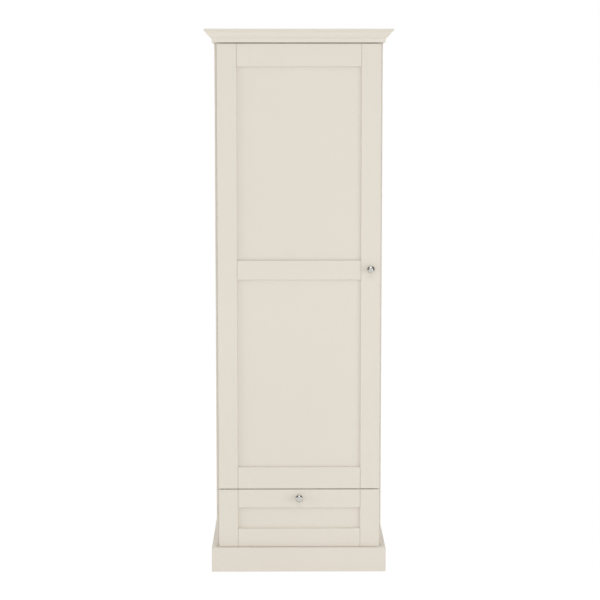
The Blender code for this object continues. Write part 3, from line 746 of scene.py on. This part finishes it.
def hinge_arm(level, steel):
    """A cranked channel arm on a winged mounting plate, with its screws and its pivot pin."""
    plate_rise, channel_rise, setback = 3 * MM, 11 * MM, 16.2 * MM
    half, cheek_inner, wall = 6.8 * MM, 4.8 * MM, 1.3 * MM
    mouth, heel, lap = 5 * MM, 7 * MM, 2 * MM
    washer_thick, washer_bite, screw_bite, screw_height = 0.5 * MM, 0.1 * MM, 0.3 * MM, 1.1 * MM
    washer_edge, washer_chamfer, washer_step = 1.1 * MM, 0.4 * MM, 0.2 * MM
    node = f"hinge_arm_{level}"
    low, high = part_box(node)
    middle = (low.z + high.z) / 2
    link_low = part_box(f"hinge_link_{level}")[0]
    pin = Vector((high.x - arm_ear_radius, link_low.y + link_eye_radius, 0))
    floor = low.x + plate_rise
    top = floor + channel_rise
    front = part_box(f"hinge_cup_{level}")[0].y + setback
    shape = Shape()
    mounting_plate(shape, low, high, middle, plate_rise)

    channel = rounded([
        (floor, middle - half, 0.4 * MM), (top, middle - half, 3.2 * MM), (top, middle + half, 3.2 * MM),
        (floor, middle + half, 0.4 * MM), (floor, middle + half - wall, 0.4 * MM),
        (top - wall, middle + half - wall, 2 * MM), (top - wall, middle - half + wall, 2 * MM),
        (floor, middle - half + wall, 0.4 * MM),
    ], 0)
    shape.prism(channel, ALONG_Y, front + mouth, high.y, 0.2 * MM)

    for back, radius in ((15 * MM, 2.9 * MM), (33 * MM, 3.7 * MM)):
        edge = radius + washer_edge
        washer = [(0, 0), (edge, 0), (edge, washer_step)]
        washer += [(edge - washer_chamfer, washer_thick), (0, washer_thick)]
        shape.turned(washer, Vector((top - washer_bite, front + back, middle)), RIGHT, 32)
        shape.screw(Vector((top + screw_bite, front + back, middle)), RIGHT, radius, screw_height)
    slot = []
    for start, end, wide in ((43.5 * MM, 54.5 * MM, 3 * MM), (45 * MM, 53 * MM, 1.6 * MM)):
        slot.append(rectangle((front + start, middle - wide), (front + end, middle + wide), wide))
    shape.plate(slot, ALONG_X, top - 0.2 * MM, top + 0.5 * MM, 0.15 * MM)

    left, right = pin.x - arm_ear_radius, pin.x + arm_ear_radius
    nose = pin.y + arm_ear_radius
    crank = rounded([
        (floor, front, 5 * MM), (left, front, 1 * MM), (left, nose, 0.6 * MM), (right, nose, 0.6 * MM),
        (right, front + heel, 5 * MM), (top - 1 * MM, front + heel, 1 * MM),
        (top - 1 * MM, front + heel + lap, 0), (floor, front + heel + lap, 0),
    ], 0, 6)
    shape.prism(crank, ALONG_Z, middle - half, middle + half, 0.5 * MM)
    cheek = [(right, nose + 1 * MM), (left, nose + 1 * MM), *arc(pin.x, pin.y, arm_ear_radius, 180, 360, 12)]
    for side in BOTH:
        ends = sorted((middle + side * half, middle + side * cheek_inner))
        shape.prism(cheek, ALONG_Z, *ends, 0.25 * MM)
    shape.rod(Vector((pin.x, pin.y, middle - half)), UP, pivot_pin_radius, 2 * half, chamfer=0.2 * MM)
    shape.piece(f"{node}_pressed", steel, "carcass", "hinge_steel", [node])


def hinge_cup(level, steel):
    """The drawn cup with its rolled flange, a wing plate with two screws, and the link's pin."""
    radius, wall, flange_width = 17.5 * MM, 1 * MM, 0.7 * MM
    outer_round, inner_round = 2.4 * MM, 1.8 * MM
    flange_foot, flange_top, flange_round = 0.3 * MM, 1.0 * MM, 0.35 * MM
    lip_foot, lip_width, lip_top = 0.6 * MM, 0.3 * MM, 0.95 * MM
    wing_offset, wing_corner, cup_overlap = 1.5 * MM, 5 * MM, 0.2 * MM
    screw_offset, screw_rise, screw_height = 9.5 * MM, 24 * MM, 1.3 * MM
    node = f"hinge_cup_{level}"
    low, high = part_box(node)
    link_low, link_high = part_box(f"hinge_link_{level}")
    middle = (low.z + high.z) / 2
    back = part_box("hinge_stile")[1].y
    flange = radius + flange_width
    centre = low.x + flange
    depth = back - low.y
    bore = radius - wall
    shape = Shape()
    profile = [(0, wall - depth), *arc(bore - inner_round, wall - depth + inner_round, inner_round, -90, 0)]
    profile += [(bore, lip_foot), (bore + lip_width, lip_top)]
    profile += arc(flange - flange_round, flange_top - flange_round, flange_round, 90, 0, 3)
    profile += [(flange, flange_foot), (radius, flange_foot)]
    profile += arc(radius - outer_round, outer_round - depth, outer_round, 0, -90)
    profile += [(0, -depth)]
    shape.turned(profile, Vector((centre, back, middle)), BACK, 72)

    near, far, tall = centre + wing_offset, high.x, (high.z - low.z) / 2
    inner = radius - cup_overlap
    outline = [(far, 0), (far, tall - wing_corner)]
    outline += arc(far - wing_corner, tall - wing_corner, wing_corner, 0, 90, 5)
    outline += arc(near + wing_corner, tall - wing_corner, wing_corner, 90, 180, 5)
    outline += arc(centre, 0, inner, math.degrees(math.acos(wing_offset / inner)), 0, 8)
    for way in (1, -1):
        wing = [(across, middle + way * up) for across, up in outline]
        shape.prism(wing, ALONG_Y, back + flange_foot, back + flange_top, 0.15 * MM)
    for up in (-screw_rise, screw_rise):
        place = Vector((centre + screw_offset, back + lip_top, middle + up))
        shape.screw(place, BACK, plate_screw_radius, screw_height)
    pin_x, pin_y = link_low.x + link_eye_radius, link_high.y - link_eye_radius
    reach = math.sqrt((radius - wall / 2) ** 2 - (pin_x - centre) ** 2)
    shape.rod(Vector((pin_x, pin_y, middle - reach)), UP, pivot_pin_radius, 2 * reach)
    shape.piece(f"{node}_drawn", steel, "door", "hinge_steel", [node])


def shelf_pin(node, side, steel):
    """A collared pin: a shank in its hole, a thin collar on the panel's face, and a chamfered seat."""
    shank_chamfer, seat_chamfer = 0.5 * MM, 0.7 * MM
    collar = [(0, 0.05), (1, 0.05), (1.1, 0.2), (1.1, 0.5), (0.9, 0.65), (0, 0.65)]
    low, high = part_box(node)
    middle = (low + high) / 2
    radius = (high.z - low.z) / 2
    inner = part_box("side_panel_right")[0].x
    shank = max(abs(low.x), abs(high.x)) - inner
    reach = inner - min(abs(low.x), abs(high.x))
    profile = [(0, -shank), (radius - shank_chamfer, -shank), (radius, shank_chamfer - shank)]
    profile += [(radius + out * MM, up * MM) for out, up in collar]
    profile += [(radius, reach - seat_chamfer), (radius - seat_chamfer, reach), (0, reach)]
    place = Vector((side * inner, middle.y, middle.z))
    shape = Shape().turned(profile, place, RIGHT * -side, 32)
    shape.piece(f"{node}_collared", steel, "carcass", "hinge_steel", [node])


def cam_covers(material):
    """Small caps over the fittings that hold the fixed boards, on their undersides."""
    radius, rise, edge, wall = 8.5 * MM, 1.2 * MM, 0.6 * MM, 0.5 * MM
    dimple_mouth, dimple_floor, dimple_rise = 1.6 * MM, 1.2 * MM, 0.8 * MM
    from_front, from_back, from_side = 50 * MM, 60 * MM, 34 * MM
    profile = [(0, 0), (radius, 0), (radius, wall), *arc(radius - edge, rise - edge, edge, 0, 90, 3)]
    profile += [(dimple_mouth, rise), (dimple_floor, dimple_rise), (0, dimple_rise)]
    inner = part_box("side_panel_right")[0].x
    for board in ("top_panel", "shelf_middle", "deck_panel"):
        low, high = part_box(board)
        shape = Shape()
        for side in BOTH:
            for depth in (low.y + from_front, high.y - from_back):
                shape.turned(profile, Vector((side * (inner - from_side), depth, low.z)), DOWN, 40)
        shape.piece(f"cam_covers_{board}", material, "carcass", "cream_paint")


def bumpers(material):
    """Soft buffers on the backs of the door and the drawer front, where they meet the case's edge."""
    radius, wall, edge, rise = 4.2 * MM, 0.9 * MM, 0.8 * MM, 1.95 * MM
    profile = [(0, 0), (radius, 0), (radius, wall), *arc(radius - edge, 1.1 * MM, edge, 0, 90, 4), (0, rise)]
    across = (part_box("side_panel_right")[0].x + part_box("lock_stile")[1].x) / 2
    for name, node, body, inset, sides in (
        ("door_bumpers", "lock_stile", "door", 60 * MM, (1,)),
        ("drawer_bumpers", "drawer_stile_right", "drawer", 30 * MM, BOTH),
    ):
        low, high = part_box(node)
        shape = Shape()
        for side in sides:
            for up in (low.z + inset, high.z - inset):
                shape.turned(profile, Vector((side * across, high.y, up)), BACK, 32)
        shape.piece(name, material, body, "cream_paint")


def runner(name, side, steel, ball_steel):
    """A ball runner of thin strip: cabinet member, middle member with its balls and cages, drawer member."""
    gauge, web = 1.2 * MM, 12.7 * MM
    web_half, web_corner, hole_radius = 10.6 * MM, 1.5 * MM, 2.3 * MM
    slot_half, slot_length = 2.4 * MM, 11 * MM
    ball_out, ball_radius, cage_overrun = 7.6 * MM, 1.5 * MM, 6 * MM
    cage_in, cage_out, cage_half, cage_corner = 6.4 * MM, 9.6 * MM, 0.35 * MM, 0.3 * MM
    low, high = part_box(f"runner_cabinet_{name}")
    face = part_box("side_panel_right")[0].x
    middle = (low.z + high.z) / 2
    near, far = low.y, high.y
    tall = (high.z - low.z) / 2

    def placed(outline):
        return [(side * (face - out), middle + up) for out, up in outline]

    def section(points, drop=0):
        return placed(rounded([(out * MM, up * MM - drop, bend * MM) for out, up, bend in points], 0, 3))

    def member(points, drop=0):
        upper = [(out, 2 * drop / MM - up, bend) for out, up, bend in reversed(points)]
        return section([*points, *upper], drop)

    def spot(out, at, up=0):
        return Vector((side * (face - out), near + at * MM, middle + up))

    def finish(shape, part, body):
        node = f"runner_{part}_{name}"
        shape.piece(f"{node}_rolled", steel, body, "runner_steel", [node])

    shape = Shape().prism(member(CABINET_MEMBER, tall), ALONG_Y, near, far)
    for at in CABINET_SCREWS:
        shape.screw(spot(1.5 * MM, at), RIGHT * -side, 3.6 * MM, 1.1 * MM)
    finish(shape, "cabinet", "carcass")
    finish(Shape().prism(member(MIDDLE_MEMBER), ALONG_Y, near, far), "middle", "runner_middles")

    outlines = [rectangle((near, middle - web_half), (far, middle + web_half), web_corner)]
    for at in SLOTS:
        start, end = near + at * MM, near + at * MM + slot_length
        outlines.append(rectangle((start, middle - slot_half), (end, middle + slot_half), slot_half))
    outlines += [circle(near + at * MM, middle, hole_radius, 24) for at in HOLES]
    shape = Shape()
    shape.plate(outlines, ALONG_X, *sorted((side * (face - web + gauge), side * (face - web))), 0.12 * MM)
    for way in BOTH:
        lip = section([(out, way * up, bend) for out, up, bend in DRAWER_LIP])
        shape.prism(lip, ALONG_Y, near, far)
    for at in DRAWER_SCREWS:
        shape.screw(spot(web - gauge, at), RIGHT * side, 3.4 * MM, 1.3 * MM)
    finish(shape, "drawer", "drawer")

    balls = Shape()
    for way in BOTH:
        for ball_up, cage_up, first, last in BALL_ROWS:
            for at in range(first, last + 1, BALL_PITCH):
                balls.ball(spot(ball_out, at, way * ball_up * MM), ball_radius)
            ends = ((cage_in, cage_up * MM - cage_half), (cage_out, cage_up * MM + cage_half))
            cage = placed([(out, way * up) for out, up in rectangle(*ends, cage_corner, 2)])
            balls.prism(cage, ALONG_Y, near + first * MM - cage_overrun, near + last * MM + cage_overrun)
    balls.piece(f"runner_balls_{name}", ball_steel, "runner_middles", "runner_steel")


def drawer_box(materials, steel):
    """Sides dovetailed to the front: tails on the sides, pins on the front, with their end grain showing."""
    tails, at_base, at_end = 4, 12.5 * MM, 14.5 * MM
    gap, pin_bite, pin_inset = 0.08 * MM, 0.4 * MM, 0.02 * MM
    screw_radius, screw_height, screw_across = 4.4 * MM, 2.2 * MM, 0.16
    screw_from_foot, screw_from_top = 40 * MM, 32 * MM
    low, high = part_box("drawer_side_right")
    front_low, front_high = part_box("drawer_box_front")
    start, shoulder = low.y, low.y + high.x - low.x
    pitch = (high.z - low.z) / tails
    middles = [low.z + pitch * (k + 0.5) for k in range(tails)]
    outline = [(shoulder, low.z)]
    for middle in middles:
        outline += [(shoulder, middle - at_base), (start, middle - at_end)]
        outline += [(start, middle + at_end), (shoulder, middle + at_base)]
    outline += [(shoulder, high.z), (high.y, high.z), (high.y, low.z)]
    for name, side in SIDES:
        node = f"drawer_side_{name}"
        shape = Shape().prism(outline, ALONG_X, *sorted((side * low.x, side * high.x)), 0.3 * MM)
        shape.piece(f"{node}_dovetailed", materials["Y"], "drawer", "box_wood", [node])

    shape = Shape()
    face = low.x - gap
    board = rectangle((-face, front_low.y), (face, front_high.y))
    shape.prism(board, ALONG_Z, front_low.z, front_high.z, 0.5 * MM)
    feet = [(low.z, low.z), *((middle + at_end, middle + at_base) for middle in middles)]
    tops = [*((middle - at_end, middle - at_base) for middle in middles), (high.z, high.z)]
    for (low_start, low_base), (high_start, high_base) in zip(feet, tops):
        pin = [
            (start, low_start + gap), (shoulder - gap, low_base + gap),
            (shoulder - gap, high_base - gap), (start, high_start - gap),
        ]
        for side in BOTH:
            ends = sorted((side * (face - pin_bite), side * (high.x - pin_inset)))
            shape.prism(pin, ALONG_X, *ends, 0.15 * MM)
    shape.piece("drawer_box_front_pinned", materials["X"], "drawer", "box_wood", ["drawer_box_front"])

    shape = Shape()
    for across in (-screw_across, screw_across):
        for up in (front_low.z + screw_from_foot, front_high.z - screw_from_top):
            shape.screw(Vector((across, front_high.y, up)), BACK, screw_radius, screw_height)
    shape.piece("drawer_front_screws", steel, "drawer", "hinge_steel")


# Studio


def make_studio():
    scene = bpy.context.scene
    scene.view_settings.view_transform = "Standard"
    world = bpy.data.worlds.new("studio")
    scene.world = world
    tree = Tree(world)
    fill = tree.nodes["Background"]
    fill.inputs["Color"].default_value = (*WHITE, 1)
    fill.inputs["Strength"].default_value = world_strength
    white = tree.shader("ShaderNodeBackground", WHITE)
    tree.choose_by_ray(fill.outputs[0], white.outputs[0], "World Output")
    for name, place, size, power, mirrored in lamps:
        lamp = bpy.data.lights.new(name, "AREA")
        lamp.shape = "RECTANGLE"
        lamp.size, lamp.size_y = size
        lamp.energy = power
        holder = bpy.data.objects.new(name, lamp)
        holder.location = place
        holder.rotation_euler = (lamp_aim - Vector(place)).to_track_quat("-Z", "Y").to_euler()
        holder.visible_glossy = mirrored
        scene.collection.objects.link(holder)


def make_floor():
    """A white disc that keeps a faint shadow of the object."""
    mesh = bpy.data.meshes.new("floor")
    work = bmesh.new()
    bmesh.ops.create_circle(work, cap_ends=True, segments=floor_sides, radius=floor_radius)
    work.to_mesh(mesh)
    work.free()
    floor = bpy.data.objects.new("floor", mesh)
    floor.location = (0, 0, -floor_drop)
    bpy.context.scene.collection.objects.link(floor)
    tree = Material("floor_white")
    bounce = tree.shader("ShaderNodeBsdfDiffuse", shade(WHITE, floor_white))
    faint = tree.shader("ShaderNodeBsdfDiffuse", shade(WHITE, floor_shadow))
    glow = tree.node("ShaderNodeEmission")
    glow.inputs["Strength"].default_value = floor_glow
    both = tree.node("ShaderNodeAddShader")
    tree.links.new(faint.outputs["BSDF"], both.inputs[0])
    tree.links.new(glow.outputs["Emission"], both.inputs[1])
    tree.choose_by_ray(bounce.outputs[0], both.outputs[0], "Material Output")
    mesh.materials.append(tree.material)


def make_painted_reflection_cards():
    """Two dark grey sheets, high at the left and right, that only shiny things mirror: they paint dark
    reflections on the knobs and cast no shade.
    """
    material = Material("painted_dark_reflection").finish(PAINTED_REFLECTION_GREY, CARD_ROUGHNESS)
    for name, side in SIDES:
        mesh = bpy.data.meshes.new(f"card_{name}")
        work = bmesh.new()
        rows = []
        for turn in card_turns:
            around = math.radians(turn)
            row = []
            for lean in card_leans:
                off = math.radians(lean)
                level, upright = math.sin(off) * math.sin(around), math.sin(off) * math.cos(around)
                way = Vector((side * level, -math.cos(off), upright))
                row.append(work.verts.new(card_middle + way * card_radius))
            rows.append(row)
        for first, second in zip(rows, rows[1:]):
            for k in range(len(first) - 1):
                work.faces.new((first[k], first[k + 1], second[k + 1], second[k]))
        work.to_mesh(mesh)
        work.free()
        mesh.materials.append(material)
        card = bpy.data.objects.new(f"card_{name}", mesh)
        # Hidden from every ray but glossy ones, so the sheets only paint dark reflections
        for ray in ("camera", "diffuse", "transmission", "volume_scatter", "shadow"):
            setattr(card, f"visible_{ray}", False)
        bpy.context.scene.collection.objects.link(card)


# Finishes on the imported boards


def dress_nodes(paints, woods, steel, strip, chrome, back):
    finishes = {
        "cream_paint": paints["Z"],
        "panel_paint": paints["Z"],
        "back_board": back,
        "box_wood": woods["X"],
        "polished_chrome": chrome,
        "hinge_steel": steel,
        "runner_steel": strip,
    }
    level = ["rail", "shelf", "cornice", "base", "deck", "top_panel"]
    level += ["plinth_front", "plinth_brace", "plinth_rear"]
    for part in frame["record"]["subparts"]:
        node, slot = part["node"], part["material_slot"]
        material = finishes[slot]
        if slot == "cream_paint" and any(word in node for word in level):
            material = paints["X"]
        if node in ("plinth_left", "plinth_right"):
            material = paints["Y"]
        slots = frame["nodes"][node].data.materials
        slots.clear()
        slots.append(material)


def main():
    make_camera()
    make_studio()
    make_floor()
    make_painted_reflection_cards()
    paints = {axis: paint(f"paint_along_{axis.lower()}", axis) for axis in "XYZ"}
    woods = {axis: wood(f"wood_along_{axis.lower()}", axis) for axis in "XY"}
    rough_wood = wood("wood_blocks", "X", shade(WOOD_PALE, 1.05), shade(WOOD_DARK, 1.15))
    chrome = metal("chrome", CHROME_COLOUR, CHROME_ROUGHNESS, EVEN, POLISH_DEPTH)
    nickel = metal("nickel", NICKEL_COLOUR, NICKEL_ROUGHNESS)
    bright = metal("ball_steel", shade(NICKEL_COLOUR, 1.15), BALL_ROUGHNESS, EVEN, POLISH_DEPTH)
    strip = zinc("zinc")
    buffer = paint("buffer_felt", "Z", FELT_ROUGHNESS, shade(PAINT_COLOUR, 0.86))
    dress_nodes(paints, woods, nickel, strip, chrome, back_board_material())
    cornice(paints["X"])
    knob("door", chrome)
    knob("drawer", chrome)
    fixing_screws(nickel)
    glue_blocks(rough_wood)
    top_screws(strip)
    for level in ("lower", "middle", "upper"):
        hinge_arm(level, nickel)
        hinge_cup(level, nickel)
    for shelf in ("lower", "upper"):
        for name, side in SIDES:
            for end in ("front", "rear"):
                shelf_pin(f"shelf_pin_{shelf}_{name}_{end}", side, nickel)
    cam_covers(paints["Y"])
    bumpers(buffer)
    for name, side in SIDES:
        runner(name, side, strip, bright)
    drawer_box(woods, nickel)


main()
